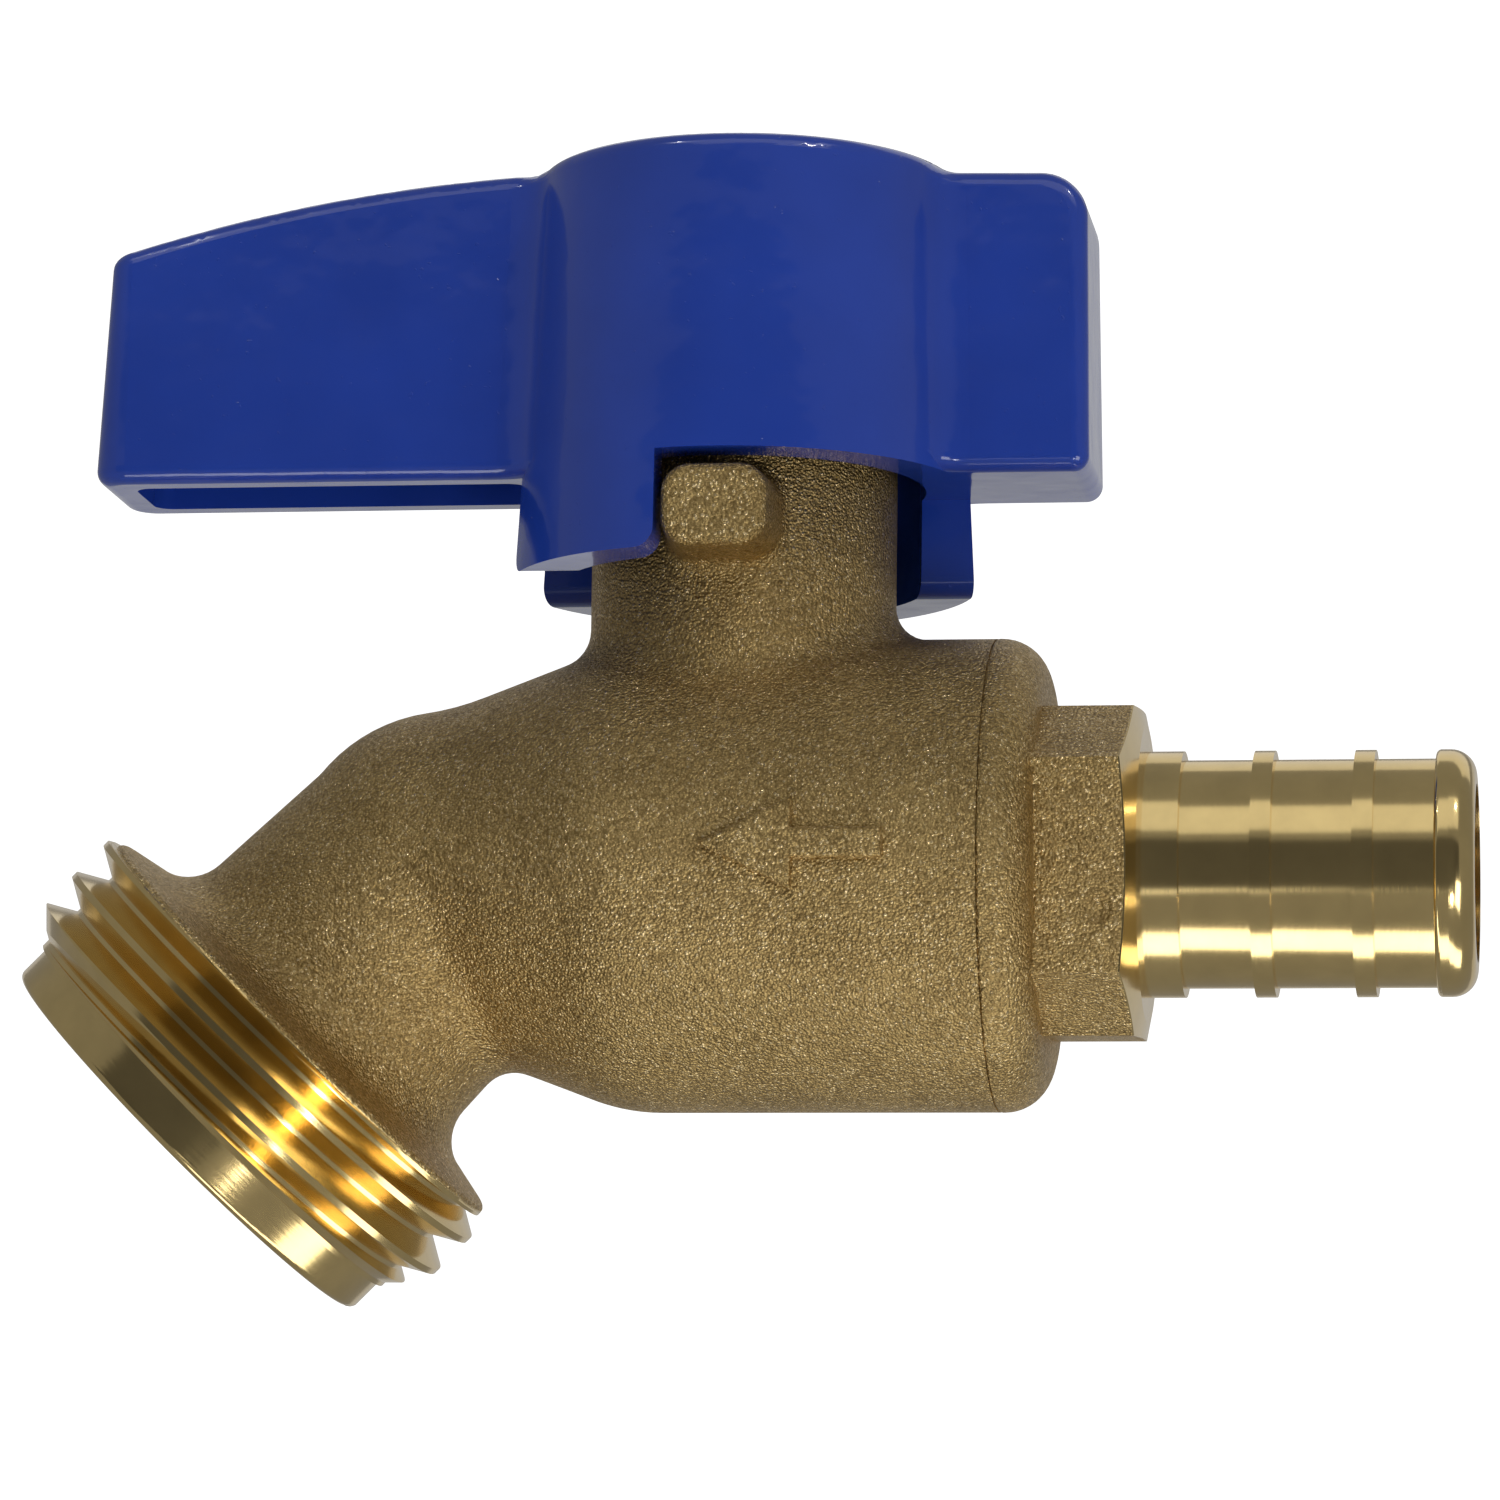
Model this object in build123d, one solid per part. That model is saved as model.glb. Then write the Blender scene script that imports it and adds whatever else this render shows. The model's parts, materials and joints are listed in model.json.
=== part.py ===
"""Quarter-turn hose bib: a two-piece brass ball valve with a barbed pipe inlet, a 45 degree
male hose thread outlet and a die-cast lever handle. One STEP file per piece, in millimetres.

Pieces are drawn round the ball's centre: +X runs out through the inlet, +Z up the stem. They are
moved on export so that the origin is the pipe stop, where the barb leaves the hexagon.
"""

import os
from math import cos, radians, sin, sqrt, tan

from build123d import *

past = 1.0                  # how far a cutting shape runs past what it cuts
near = 0.05                 # two lengths closer than this count as the same
fit_gap = 0.03              # between round pieces that stay still in each other

# ---------------------------------------------------------------- valve body
barrel_r = 11.75            # outside of the round barrel
joint_x = 13.0              # face where the tailpiece's collar meets the body
taper_start_x = -5.6        # where the barrel starts to narrow, before rounding
taper_round_r = 10.0        # rounding between barrel and taper
bend_x = -14.6              # where the outlet's axis meets the inlet's axis
bend_r = 8.4                # outside of the round bend
bend_round_r = 14.0         # rounding between taper and bend
outlet_angle = 45.0         # below the inlet's axis
spout_r = 8.3               # outside of the spout at the bend
spout_draft = 2.6           # how fast the spout widens, degrees
spout_blend_r = 2.0         # rounding between spout and barrel
outlet_end = 18.7           # bend to the outlet's end face, along the outlet
flow_r = 5.0                # waterway from the ball to the bend
spout_bore_end_r = 6.6      # waterway where it reaches the outlet's counterbore
outlet_bore_r = 9.2         # counterbore at the outlet's mouth
outlet_bore_depth = 6.0

# male garden hose thread, 3/4-11.5 NH
thread_major_r = 26.9 / 2
thread_depth = 1.42
thread_pitch = 25.4 / 11.5
thread_turns = 2.66
thread_flank = 30.0         # degrees
thread_crest_flat = 0.34
thread_turn_in = 65.0       # where the ridge leaves the flange, degrees round the outlet
thread_bite = 0.12          # how far the ridge's foot runs into the core
pilot_step = 0.25           # plain lead-in before the first thread, below the thread's root
pilot_length = 1.9
end_round_r = 0.35          # rounding of the outlet's end edge
flange_step = 0.55          # cast rim behind the thread, below the thread's crest
flange_thickness = 0.45
flange_slope = 0.9          # how far the rim's back leans towards the outlet
flange_edge_r = 0.35
flange_blend_r = 2.4

# neck that holds the stem, and the lug that stops the handle
neck_r = 7.65
neck_top_drop = 3.4         # neck's top below the hub's ceiling
neck_blend_r = 2.0
lug_width = 5.2
lug_height = 4.0
lug_z = 16.8
lug_stand = 3.7             # neck's outside to the lug's face
lug_root = 3.05             # buried in the neck
lug_corner_r = 1.4
lug_edge_r = 0.45
lug_draft = 4.0
lug_blend_r = 0.8

# raised flow arrow on the barrel's side
arrow_length = 9.0
arrow_width = 4.6
arrow_shaft = 1.5
arrow_x = 4.0               # middle of the arrow
arrow_raise = 0.35
arrow_edge_r = 0.2

# ---------------------------------------------------------------- ball and seats
ball_r = 7.95
port_r = 4.75
slot_depth = 2.05           # of the slot that the stem's tang turns
slot_play = 0.2             # between tang and slot
chamber_gap = 0.4           # between ball and body
chamber_run = 0.7           # how far the chamber runs past the outlet seat's near face
seat_lip = 0.15             # seat's bore over the ball's port
seat_width = 2.3            # from bore to outside
seat_thickness = 2.9
seat_sink = 0.55            # from the seat's far face to the ball's side
seat_gap = 0.06             # between ball and seat

# ---------------------------------------------------------------- tailpiece
spigot_r = 9.5              # screwed into the body
spigot_end_x = 5.6
spigot_room = 0.5           # left in the body beyond the spigot's end
collar_edge_r = 0.15
collar_round_r = 2.3
collar_end_x = 15.55
hex_flats = 18.0
hex_trim = 8.1              # two corners are trimmed to this height
hex_turn = 4.6              # how far the hexagon was screwed round, degrees
hex_end_x = 20.35           # the pipe stop
hex_face_r = 7.35           # flat left by the end chamfer
hex_chamfer = 12.0          # degrees from the end face
gate_scar_r = 1.65          # scoop left where the casting's feeder was broken off
gate_scar_depth = 0.4
gate_scar_x = 18.65
gate_scar_z = -3.0
stop_to_end = 16.25         # length of the barb
rib_r = 6.1
groove_depth = 0.45         # between the ribs
stop_rib_length = 1.9
rib_width = 1.0
rib_pitch = 4.95
rib_count = 2               # ribs between the stop rib and the nose
nose_length = 1.95
nose_round_r = 1.25
nose_edge_r = 0.25
barb_bore_r = 4.4
body_seal_r = 0.74          # body O-ring's section
body_seal_step = 0.3        # body's counterbore for it, over the spigot
body_seal_depth = 2.0       # of the counterbore

# ---------------------------------------------------------------- stem
stem_r = 3.25
stem_clearance = 0.06
stem_flange_r = 4.7
stem_flange_gap = 0.75      # over the ball
stem_flange_thickness = 1.5
thrust_thickness = 0.75
tang_thickness = 3.0
tang_width = 7.4
stem_seal_r = 0.57          # stem O-ring's section
stem_seal_rise = 2.25       # middle of the O-ring over the thrust washer
stem_groove_width = 1.34
stem_shoulder_drop = 0.3    # stem's shoulder below the handle
stem_top_drop = 0.3         # stem's end below the handle's washer
drive_flats = 5.0
screw_hole_depth = 9.0

# packing box, bottom to top
box_r = 5.0
box_depth = 8.9
packing_ring_height = 1.45
packing_vee = 0.5
gland_ring_height = 1.6
gland_thread_step = 0.75    # nut's thread over the packing box
gland_hex_flats = 12.0
gland_hex_rise = 0.4        # nut's hexagon over the neck
gland_hex_height = 2.3
gland_hex_chamfer = 0.5

# ---------------------------------------------------------------- handle and its fastening
draft = 2.9                 # on every side of the casting, degrees
neck_clearance = 1.45       # between neck and hub
hub_wall = 2.6              # at the skirt's lower edge
skirt_bottom_z = 14.7
rim_z = 19.6                # underside of lever, wing and stop slot
hub_top_z = 35.6
hub_roof = 3.3              # between the hub's bore and the screw's well
lever_tip_x = -32.7         # at the rim
lever_half_width = 4.6      # at the rim
lever_tip_round_r = 1.8
lever_root_drop = 0.35      # top of the lever below the hub's, where it leaves the hub
lever_tip_drop = 4.6        # and at the tip
lever_fall = 0.3            # slope of the lever's top at the tip
lever_crown = 0.95          # rise of the lever's top above a straight line
lever_run_out = 3.0         # how far the lever's side view is drawn past its tip
wing_end_x = 17.7
wing_half_width = 4.75
wing_drop = 0.35            # wing's top below the hub's
wing_top_round_r = 2.4
wing_end_draft = 0.9        # of the wing's end face, degrees
wing_edge_r = 0.9
web_round_r = 2.4           # upright corners between hub, lever and wing
casting_wall = 1.9
lever_ceiling = 2.0         # thickness over the lever's hollow
lever_hollow_root = 0.6     # how far the hollow runs in past the hub's outside
hollow_corner_r = 0.9
skirt_corner_r = 1.0
top_edge_r = 0.8
rim_edge_r = 0.8
lever_gap_margin = 0.5      # skirt's gap under the lever, inside each side of the lever
stop_play = 0.1             # left between lug and skirt at each end of the quarter turn
well_r = 5.6
well_depth = 4.4

washer_r = 4.6
washer_thickness = 0.7
lock_washer_r = 3.5
lock_washer_thickness = 0.75
lock_washer_split = 0.6
lock_washer_slant = 20.0    # of the split, degrees
screw_r = 1.75
screw_head_r = 3.5
screw_head_height = 2.2
screw_head_edge_r = 0.2
screw_head_round_r = 1.3
screw_length = 8.0
screw_slot_length = 4.0
screw_slot_width = 0.9
screw_slot_depth = 1.1
hole_clearance = 0.2

# ---------------------------------------------------------------- worked out from the above
outlet_plane = Plane(
    origin=(bend_x, 0, 0),
    x_dir=(0, 1, 0),
    z_dir=(-cos(radians(outlet_angle)), 0, -sin(radians(outlet_angle))),
)
thread_root_r = thread_major_r - thread_depth
pilot_r = thread_root_r - pilot_step
flange_r = thread_major_r - flange_step
thread_start = outlet_end - pilot_length
thread_stop = thread_start - thread_turns * thread_pitch
flange_back = thread_stop - flange_thickness
lever_root_z = hub_top_z - lever_root_drop
lever_tip_z = hub_top_z - lever_tip_drop
well_floor_z = hub_top_z - well_depth
hub_ceiling_z = well_floor_z - hub_roof
neck_top_z = hub_ceiling_z - neck_top_drop
box_floor_z = neck_top_z - box_depth
lug_reach = neck_r + lug_stand
hub_bore_r = neck_r + neck_clearance
hub_bottom_r = hub_bore_r + hub_wall
rim_front_r = hub_bottom_r - (rim_z - skirt_bottom_z) * tan(radians(draft))
hub_top_r = hub_bottom_r - (hub_top_z - skirt_bottom_z) * tan(radians(draft))
chamber_r = ball_r + chamber_gap
seat_inner_r = port_r + seat_lip
seat_outer_r = seat_inner_r + seat_width
seat_back = ball_r - seat_sink
seat_front = seat_back - seat_thickness
groove_r = rib_r - groove_depth
body_seal_bore_r = spigot_r + body_seal_step
body_seal_mid_r = body_seal_bore_r - body_seal_r - fit_gap
body_seal_mid_x = joint_x - body_seal_depth / 2
slot_floor_z = ball_r - slot_depth
tang_bottom_z = slot_floor_z + slot_play
stem_flange_z = ball_r + stem_flange_gap
stem_flange_top_z = stem_flange_z + stem_flange_thickness
thrust_top_z = stem_flange_top_z + thrust_thickness
stem_seal_z = thrust_top_z + stem_seal_rise
stem_bore_r = stem_r + stem_clearance
stem_seal_mid_r = stem_bore_r - stem_seal_r - fit_gap / 2
packing_top_z = box_floor_z + 3 * packing_ring_height
gland_thread_r = box_r + gland_thread_step
gland_thread_z = packing_top_z + gland_ring_height
gland_hex_z = neck_top_z + gland_hex_rise
stem_shoulder_z = hub_ceiling_z - stem_shoulder_drop
stem_top_z = well_floor_z - stem_top_drop
stack_z = well_floor_z + washer_thickness + lock_washer_thickness


def turned(outline, radii=None):
    """A solid turned about the Z axis from (radius, height) corners, rounded by radii."""
    corners = [(r, 0, z) for r, z in outline]
    if radii is None:
        edge = Polyline(*corners, close=True)
    else:
        edge = FilletPolyline(*corners, radius=radii, close=True)
    return revolve(make_face(edge), Axis.Z)


def along_x(solid):
    """Lays a solid that was turned about Z along +X."""
    return Rot(0, 90, 0) * solid


def rod(x_low, x_high, r):
    """A cylinder along the inlet's axis."""
    return Pos((x_low + x_high) / 2, 0, 0) * Rot(0, 90, 0) * Cylinder(r, x_high - x_low)


def post(z_low, z_high, r):
    """A cylinder along the stem's axis."""
    return Pos(0, 0, (z_low + z_high) / 2) * Cylinder(r, z_high - z_low)


def flats(across, z_low, z_high):
    """A slab about the stem's axis that leaves two flats on what it is intersected with."""
    return Pos(0, 0, (z_low + z_high) / 2) * Box(across, 2 * barrel_r, z_high - z_low)


def ring(z_low, z_high, r_inner, r_outer):
    """A plain ring about the stem's axis."""
    return post(z_low, z_high, r_outer) - post(z_low - past, z_high + past, r_inner)


# ---------------------------------------------------------------- body
def hose_thread():
    """The thread's ridge: a trapezium carried along a helix, its end cut to a lead-in."""
    foot_r = thread_root_r - thread_bite
    slope = tan(radians(thread_flank))
    crest = thread_crest_flat / 2
    foot = crest + (thread_major_r - foot_r) * slope
    section = make_face(Polyline(
        (foot_r, 0, -foot), (thread_major_r, 0, -crest), (thread_major_r, 0, crest), (foot_r, 0, foot),
        close=True,
    ))
    path = Edge.make_helix(thread_pitch, (thread_turns + 1.5) * thread_pitch, thread_root_r)
    ridge = sweep(section, path=path, is_frenet=True)
    ridge = Pos(0, 0, thread_stop - thread_pitch / 2) * Rot(0, 0, thread_turn_in) * ridge
    wide_r = thread_major_r + past
    lead = turned([
        (0, flange_back + flange_thickness / 2),
        (wide_r, flange_back + flange_thickness / 2),
        (wide_r, thread_start - (wide_r - pilot_r)),
        (pilot_r, thread_start),
        (0, thread_start),
    ])
    return ridge & lead


def spout():
    """The outlet about its own axis, from the bend to the end face, without its bore."""
    back_r = spout_r + flange_back * tan(radians(spout_draft))
    return turned(
        [
            (0, 0),
            (spout_r, 0),
            (back_r, flange_back - flange_slope),
            (flange_r, flange_back),
            (flange_r, thread_stop),
            (thread_root_r, thread_stop),
            (thread_root_r, thread_start),
            (pilot_r, thread_start),
            (pilot_r, outlet_end),
            (0, outlet_end),
        ],
        radii=[0, 0, flange_blend_r, flange_edge_r, 0, 0, 0, 0, end_round_r, 0],
    )


def spout_bore():
    """The outlet's waterway and the counterbore at its mouth."""
    seat = outlet_end - outlet_bore_depth
    return turned([
        (0, 0),
        (flow_r, 0),
        (spout_bore_end_r, seat),
        (outlet_bore_r, seat),
        (outlet_bore_r, outlet_end + past),
        (0, outlet_end + past),
    ])


def lug():
    """The handle's stop: a rounded block that stands out of the neck towards -Y."""
    face = Plane(origin=(0, -lug_reach, lug_z), x_dir=(1, 0, 0), z_dir=(0, 1, 0))
    outline = RectangleRounded(lug_width, lug_height, lug_corner_r)
    block = extrude(face * outline, amount=lug_stand + lug_root, taper=-lug_draft)
    return fillet(block.faces().sort_by(Axis.Y)[0].edges(), lug_edge_r)


def flow_arrow():
    """A raised arrow on the side of the barrel that points to the outlet."""
    tip = -arrow_length / 2
    tail = arrow_length / 2
    neck = tip + arrow_width
    outline = Polyline(
        (tip, 0),
        (neck, arrow_width / 2),
        (neck, arrow_shaft / 2),
        (tail, arrow_shaft / 2),
        (tail, -arrow_shaft / 2),
        (neck, -arrow_shaft / 2),
        (neck, -arrow_width / 2),
        close=True,
    )
    side = Plane(origin=(arrow_x, 0, 0), x_dir=(1, 0, 0), z_dir=(0, -1, 0))
    prism = extrude(side * make_face(outline), amount=2 * barrel_r)
    arrow = prism & rod(-barrel_r, barrel_r, barrel_r + arrow_raise)
    return fillet(arrow.faces().sort_by(Axis.Y)[0].edges(), arrow_edge_r)


def edges_on_neck(shell, z_low, z_high):
    """The edges that lie on the neck's outside between two heights, without its seam."""
    found = []
    for edge in shell.edges():
        spots = [edge @ share for share in (0.1, 0.5, 0.9)]
        on_neck = all(abs(sqrt(spot.X**2 + spot.Y**2) - neck_r) < near for spot in spots)
        if on_neck and z_low < edge.center().Z < z_high and edge.length < 4 * neck_r:
            found.append(edge)
    return [edge for edge in found if not (edge.geom_type == GeomType.LINE and edge.center().X > 0)]


def make_body():
    """The casting: barrel, taper, bend, spout, neck and lug, then every bore."""
    barrel = along_x(turned(
        [(0, joint_x), (barrel_r, joint_x), (barrel_r, taper_start_x), (bend_r, bend_x), (0, bend_x)],
        radii=[0, 0, taper_round_r, 0, 0],
    ))
    elbow = barrel + Pos(bend_x, 0, 0) * Sphere(bend_r)
    meeting = [
        edge for edge in elbow.edges()
        if edge.geom_type == GeomType.CIRCLE and abs(edge.center().X - bend_x) < near
    ]
    shell = fillet(meeting, bend_round_r) + outlet_plane * spout()
    crease = [
        edge for edge in shell.edges()
        if edge.center().Z < 0 and bend_x < edge.center().X < bend_x + spout_r
    ]
    shell = fillet(crease, spout_blend_r)
    shell = shell + post(0, neck_top_z, neck_r)
    shell = fillet(edges_on_neck(shell, bend_r / 2, lug_z - lug_height), neck_blend_r)
    shell = shell + lug()
    shell = fillet(edges_on_neck(shell, lug_z - lug_height, lug_z + lug_height), lug_blend_r)
    shell = shell + outlet_plane * hose_thread() + flow_arrow()
    shell -= rod(spigot_end_x - spigot_room, joint_x + past, spigot_r + fit_gap)
    shell -= rod(joint_x - body_seal_depth, joint_x + past, body_seal_bore_r)
    shell -= rod(-seat_front - chamber_run, spigot_end_x, chamber_r)
    shell -= along_x(Sphere(ball_r + 2 * seat_gap))
    shell -= rod(-seat_back, 0, seat_outer_r + fit_gap)
    shell -= rod(bend_x, 0, flow_r)
    shell -= Pos(bend_x, 0, 0) * Sphere(flow_r)
    shell -= outlet_plane * spout_bore()
    shell -= post(0, thrust_top_z, stem_flange_r + stem_clearance)
    shell -= post(0, neck_top_z, stem_bore_r)
    shell -= post(box_floor_z, neck_top_z, box_r)
    shell -= post(gland_thread_z, neck_top_z + past, gland_thread_r + fit_gap)
    return shell


def make_seat(side):
    """A seat ring with a face that fits the ball; side is +1 at the inlet, -1 at the outlet."""
    blank = turned([
        (seat_inner_r, seat_front),
        (seat_outer_r, seat_front),
        (seat_outer_r, seat_back),
        (seat_inner_r, seat_back),
    ])
    blank -= Sphere(ball_r + seat_gap)
    return Rot(0, 90 * side, 0) * blank


def make_ball():
    """The ball with its waterway and the slot that the stem's tang turns."""
    ball = Sphere(ball_r) - rod(-ball_r - past, ball_r + past, port_r)
    return ball - flats(tang_thickness + slot_play, slot_floor_z, ball_r + past)


# ---------------------------------------------------------------- tailpiece
def make_tailpiece():
    """Spigot, collar, trimmed hexagon and pipe barb, turned from one casting."""
    seal_groove_r = body_seal_mid_r - body_seal_r - fit_gap
    collar = along_x(turned(
        [(0, joint_x), (barrel_r, joint_x), (barrel_r, collar_end_x), (0, collar_end_x)],
        radii=[0, collar_edge_r, collar_round_r, 0],
    ))
    spigot = rod(spigot_end_x, joint_x, spigot_r)
    spigot -= rod(joint_x - body_seal_depth, joint_x, barrel_r) - rod(0, joint_x, seal_groove_r)
    outline = RegularPolygon(hex_flats / 2, 6, major_radius=False)
    nut = Rot(0, 90, 0) * Pos(0, 0, joint_x) * extrude(outline, amount=hex_end_x - joint_x)
    nut &= Pos((joint_x + hex_end_x) / 2, 0, 0) * Box(hex_end_x, 2 * hex_flats, 2 * hex_trim)
    chamfer_drop = (hex_flats - hex_face_r) * tan(radians(hex_chamfer))
    nut &= along_x(turned([
        (0, joint_x),
        (hex_flats, joint_x),
        (hex_flats, hex_end_x - chamfer_drop),
        (hex_face_r, hex_end_x),
        (0, hex_end_x),
    ]))
    scar_y = -hex_flats / 2 - gate_scar_r + gate_scar_depth
    nut = Rot(hex_turn, 0, 0) * nut - Pos(gate_scar_x, scar_y, gate_scar_z) * Sphere(gate_scar_r)
    tail = collar + spigot + nut + make_barb()
    tail -= rod(0, hex_end_x + stop_to_end + past, barb_bore_r)
    tail -= rod(0, seat_back, seat_outer_r + fit_gap)
    tail -= along_x(Sphere(ball_r + 2 * seat_gap))
    return tail


def make_barb():
    """The pipe barb: a plain stem with a stop rib, narrow ribs and a rounded nose."""
    end_x = hex_end_x + stop_to_end
    barb = rod(hex_end_x - past, end_x - nose_length / 2, groove_r)
    barb += rod(hex_end_x - past, hex_end_x + stop_rib_length, rib_r)
    for count in range(1, rib_count + 1):
        mid = hex_end_x + stop_rib_length / 2 + count * rib_pitch
        barb += rod(mid - rib_width / 2, mid + rib_width / 2, rib_r)
    nose = along_x(turned(
        [(0, end_x - nose_length), (rib_r, end_x - nose_length), (rib_r, end_x), (0, end_x)],
        radii=[0, nose_edge_r, nose_round_r, 0],
    ))
    return barb + nose


def make_body_seal():
    """O-ring round the tailpiece's spigot."""
    return Pos(body_seal_mid_x, 0, 0) * Rot(0, 90, 0) * Torus(body_seal_mid_r, body_seal_r)


# ---------------------------------------------------------------- stem and packing
def make_stem():
    """Tang, flange, shaft with its O-ring groove, flatted drive and a hole for the screw."""
    stem = post(stem_flange_z, stem_flange_top_z, stem_flange_r)
    tang = post(tang_bottom_z, stem_flange_top_z, tang_width / 2)
    tang &= flats(tang_thickness, tang_bottom_z, stem_flange_top_z)
    stem += tang + post(stem_flange_z, stem_shoulder_z, stem_r)
    drive = post(stem_shoulder_z - past, stem_top_z, stem_r)
    stem += drive & flats(drive_flats, stem_shoulder_z - past, stem_top_z)
    seal_floor_r = stem_seal_mid_r - stem_seal_r - fit_gap / 2
    seal_low_z = stem_seal_z - stem_groove_width / 2
    stem -= ring(seal_low_z, seal_low_z + stem_groove_width, seal_floor_r, stem_r + past)
    stem -= post(stem_top_z - screw_hole_depth, stem_top_z + past, screw_r + fit_gap)
    return stem


def make_thrust_washer():
    """Washer that the stem's flange turns against."""
    return ring(stem_flange_top_z, thrust_top_z - fit_gap, stem_bore_r, stem_flange_r)


def make_stem_seal():
    """O-ring in the stem's groove."""
    return Pos(0, 0, stem_seal_z) * Torus(stem_seal_mid_r, stem_seal_r)


def vee_ring(z_low, z_high, vee_low, vee_high):
    """A packing ring; vee_low and vee_high say how far its two faces peak."""
    inner, outer = stem_bore_r, box_r - fit_gap
    middle = (inner + outer) / 2
    return turned([
        (inner, z_low),
        (middle, z_low + vee_low),
        (outer, z_low),
        (outer, z_high),
        (middle, z_high + vee_high),
        (inner, z_high),
    ])


def make_packing_ring(level):
    """One ring of the packing, counted from the bottom: the lowest has a flat foot."""
    z_low = box_floor_z + level * packing_ring_height
    vee_low = 0.0 if level == 0 else packing_vee
    return vee_ring(z_low, z_low + packing_ring_height - fit_gap, vee_low, packing_vee)


def make_gland_ring():
    """Ring between the packing and the gland nut, hollowed below to fit the packing."""
    return vee_ring(packing_top_z, gland_thread_z - fit_gap, packing_vee, 0.0)


def make_gland_nut():
    """Nut that is screwed into the neck's top, with a hexagon that stands clear of it."""
    top_z = gland_hex_z + gland_hex_height
    corner_r = gland_hex_flats / sqrt(3)
    outline = RegularPolygon(gland_hex_flats / 2, 6, major_radius=False)
    head = Pos(0, 0, gland_hex_z) * extrude(outline, amount=gland_hex_height)
    head &= turned([
        (0, gland_hex_z),
        (corner_r, gland_hex_z),
        (corner_r, top_z - gland_hex_chamfer),
        (gland_hex_flats / 2, top_z),
        (0, top_z),
    ])
    nut = post(gland_thread_z, top_z, gland_thread_r) + head
    return nut - post(gland_thread_z - past, top_z + past, stem_bore_r)


# ---------------------------------------------------------------- handle
def drafted(outline):
    """An outline at the rim, carried up past the handle's top with the casting's draft."""
    return Pos(0, 0, rim_z) * extrude(outline, amount=hub_top_z - rim_z + past, taper=draft)


def along_y(profile):
    """A side view in X and Z, carried across the whole handle."""
    return extrude(Plane.XZ * profile, amount=2 * hub_bottom_r, both=True)


def lever_profile(drop=0.0):
    """The lever's side view: a crowned top that falls to the tip, lowered by drop."""
    tip_x = lever_tip_x - lever_run_out
    tip_z = lever_tip_z - lever_run_out * lever_fall - drop
    root_z = lever_root_z - drop
    middle = ((tip_x - rim_front_r) / 2, (tip_z + root_z) / 2 + lever_crown)
    top = ThreePointArc((tip_x, tip_z), middle, (-rim_front_r, root_z))
    rest = Polyline(
        (-rim_front_r, root_z),
        (0, root_z),
        (0, skirt_bottom_z),
        (tip_x, skirt_bottom_z),
        (tip_x, tip_z),
    )
    return make_face(top + rest)


def upper_edges(block, beyond):
    """The edges of a block above the rim whose middle lies further than beyond from the stem."""
    return [
        edge for edge in block.edges()
        if edge.center().Z > rim_z + near and abs(edge.center().X) > beyond
    ]


def make_lever():
    """The lever's outside, with its top edges and upright tip corners rounded."""
    outline = Pos(lever_tip_x / 2, 0) * Rectangle(-lever_tip_x, 2 * lever_half_width)
    tips = [corner for corner in outline.vertices() if corner.X < lever_tip_x / 2]
    lever = drafted(fillet(tips, lever_tip_round_r)) & along_y(lever_profile())
    tops = [edge for edge in upper_edges(lever, 1) if edge.bounding_box().size.Z < lever_tip_z / 4]
    return fillet(tops, top_edge_r)


def make_wing():
    """The short wing opposite the lever, with its top and end edges rounded."""
    top_z = hub_top_z - wing_drop
    lean = tan(radians(wing_end_draft))
    outline = Pos(wing_end_x / 2 + past, 0) * Rectangle(wing_end_x + 2 * past, 2 * wing_half_width)
    profile = make_face(Polyline(
        (0, top_z),
        (wing_end_x - (top_z - rim_z) * lean, top_z - wing_drop),
        (wing_end_x + past * lean, rim_z - past),
        (0, rim_z - past),
        close=True,
    ))
    corner = profile.vertices().sort_by(lambda vertex: vertex.X + vertex.Y)[-1]
    wing = drafted(outline) & along_y(fillet(corner, wing_top_round_r))
    edges = [edge for edge in upper_edges(wing, 1) if abs(edge.center().Y) > near]
    return fillet(edges, wing_edge_r)


def make_handle():
    """The die casting: hub, lever and wing in one, hollowed from below."""
    hub = turned(
        [(0, rim_z), (rim_front_r, rim_z), (hub_top_r, hub_top_z), (0, hub_top_z)],
        radii=[0, 0, top_edge_r, 0],
    )
    block = hub + make_lever() + make_wing()
    creases = [
        edge for edge in block.edges()
        if edge.bounding_box().size.Z > 5
        and abs(sqrt(edge.center().X**2 + edge.center().Y**2) - rim_front_r) < 1
    ]
    block = fillet(creases, web_round_r)
    rims = [edge for edge in block.edges() if abs(edge.center().Z - rim_z) < near]
    block = fillet(rims, rim_edge_r)
    block += skirt()
    block -= lever_hollow()
    block -= post(skirt_bottom_z - past, hub_ceiling_z, hub_bore_r)
    block -= post(well_floor_z, hub_top_z + past, well_r)
    bore = post(hub_ceiling_z - past, well_floor_z + past, stem_bore_r)
    across = drive_flats + 2 * stem_clearance
    return block - (bore & flats(across, hub_ceiling_z - past, well_floor_z + past))


def skirt():
    """The hub's skirt, cut for the stop lug and under the lever, with rounded lower corners."""
    inner_r = hub_bore_r - past
    top_r = hub_bottom_r - (hub_ceiling_z - skirt_bottom_z) * tan(radians(draft))
    wall = turned([
        (inner_r, skirt_bottom_z),
        (hub_bottom_r, skirt_bottom_z),
        (top_r, hub_ceiling_z),
        (inner_r, hub_ceiling_z),
    ])
    wall -= stop_window() + lever_gap()
    corners = [
        edge for edge in wall.edges()
        if edge.geom_type == GeomType.LINE and abs(edge.center().Z - skirt_bottom_z) < near
    ]
    return fillet(corners, skirt_corner_r)


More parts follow.
